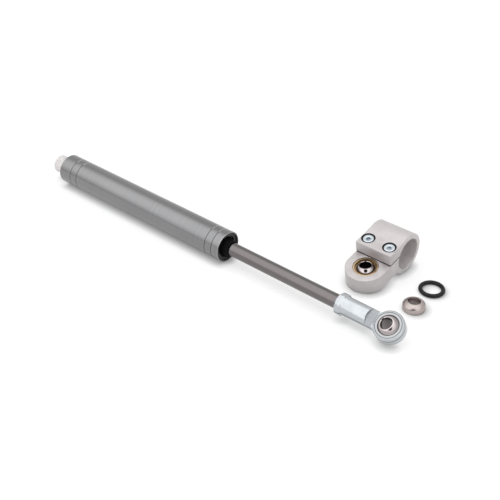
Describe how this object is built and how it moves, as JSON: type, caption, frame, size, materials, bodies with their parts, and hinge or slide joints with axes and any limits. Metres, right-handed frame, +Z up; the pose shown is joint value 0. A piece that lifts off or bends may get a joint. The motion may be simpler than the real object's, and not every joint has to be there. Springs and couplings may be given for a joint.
{
  "type": "steering damper",
  "caption": "Motorcycle steering damper with a through rod, click adjuster knob and rod end, shown extended, with its tube clamp, spacer and O-ring lying beside it.",
  "frame": {"origin": "centre of the damper tube, on its axis", "axes": "+X along the tube to the rod end, +Z up from the surface that the pieces lie on, +Y to the side where the loose clamp lies"},
  "size_m": [0.3156, 0.0937, 0.0289],
  "materials": {
    "tube_grey": "satin grey anodised",
    "gland_black": "matt black anodised",
    "bronze": "plain sintered bronze",
    "seal_black": "matt black rubber",
    "clip_steel": "black spring steel",
    "piston_metal": "machined",
    "ring_plastic": "bronze-filled low-friction plastic",
    "rod_steel": "ground steel, brownish grey",
    "rod_end_zinc": "bright zinc plated, bluish",
    "race_steel": "plain steel",
    "ball_steel": "polished steel",
    "knob_silver": "silver anodised, satin",
    "screw_zinc": "zinc plated",
    "needle_brass": "machined brass",
    "clamp_silver": "bead-blasted silver anodised",
    "bearing_gold": "yellow zinc plated",
    "spacer_steel": "turned stainless steel"
  },
  "bodies": {
    "barrel": {"tube": "tube_grey", "front_gland": "gland_black", "front_bush": "bronze", "front_rod_seal": "seal_black", "front_wiper": "seal_black", "front_gland_o_ring": "seal_black", "front_circlip": "clip_steel", "front_bump_stop": "seal_black", "rear_gland": "gland_black", "rear_bush": "bronze", "rear_rod_seal": "seal_black", "rear_wiper": "seal_black", "rear_gland_o_ring": "seal_black", "rear_circlip": "clip_steel", "rear_bump_stop": "seal_black"},
    "piston": {"piston": "piston_metal", "piston_ring": "ring_plastic"},
    "rod": {"piston_rod": "rod_steel", "piston_clips": "clip_steel", "rod_end_housing": "rod_end_zinc", "rod_end_race": "race_steel", "detent_ball": "ball_steel", "detent_spring": "clip_steel"},
    "knob": {"adjuster_knob": "knob_silver", "knob_guide_screw": "screw_zinc"},
    "needle": {"needle": "needle_brass", "needle_o_ring": "seal_black"},
    "eye_ball": {"rod_end_ball": "ball_steel"},
    "clamp": {"clamp_body": "clamp_silver", "clamp_screws": "screw_zinc", "bearing_race": "bearing_gold", "bearing_keeper": "bearing_gold"},
    "pivot_ball": {"clamp_ball": "ball_steel"},
    "spacer": {"spacer": "spacer_steel"},
    "o_ring": {"loose_o_ring": "seal_black"}
  },
  "joints": [
    {"name": "rod_travel", "type": "slide", "parent": "barrel", "child": "piston", "axis": [1, 0, 0], "range_m": [-0.0872, 0]},
    {"name": "rod_turn", "type": "hinge", "parent": "piston", "child": "rod", "pos_m": [0, 0, 0], "axis": [1, 0, 0], "continuous": true},
    {"name": "knob_turn", "type": "hinge", "parent": "rod", "child": "knob", "pos_m": [-0.0877, 0, 0], "axis": [1, 0, 0], "range_deg": [0, 330]},
    {"name": "needle_feed", "type": "slide", "parent": "rod", "child": "needle", "axis": [1, 0, 0], "range_m": [0, 0.0014]},
    {"name": "eye_swivel", "type": "hinge", "parent": "rod", "child": "eye_ball", "pos_m": [0.2121, 0, 0], "axis": [-0.1908, -0.5202, 0.8325], "continuous": true},
    {"name": "clamp_lift", "type": "slide", "parent": "barrel", "child": "clamp", "axis": [0, 0, 1], "range_m": [0, 0.06]},
    {"name": "clamp_pivot", "type": "hinge", "parent": "clamp", "child": "pivot_ball", "pos_m": [0.1671, 0.03962, -0.00102], "axis": [-0.078, -0.0759, 0.9941], "continuous": true},
    {"name": "spacer_lift", "type": "slide", "parent": "barrel", "child": "spacer", "axis": [0, 0, 1], "range_m": [0, 0.06]},
    {"name": "o_ring_lift", "type": "slide", "parent": "barrel", "child": "o_ring", "axis": [0, 0, 1], "range_m": [0, 0.06]}
  ],
  "couplings": [
    {"joint": "knob_turn", "follows": "needle_feed", "rad_per_m": 4113}
  ]
}
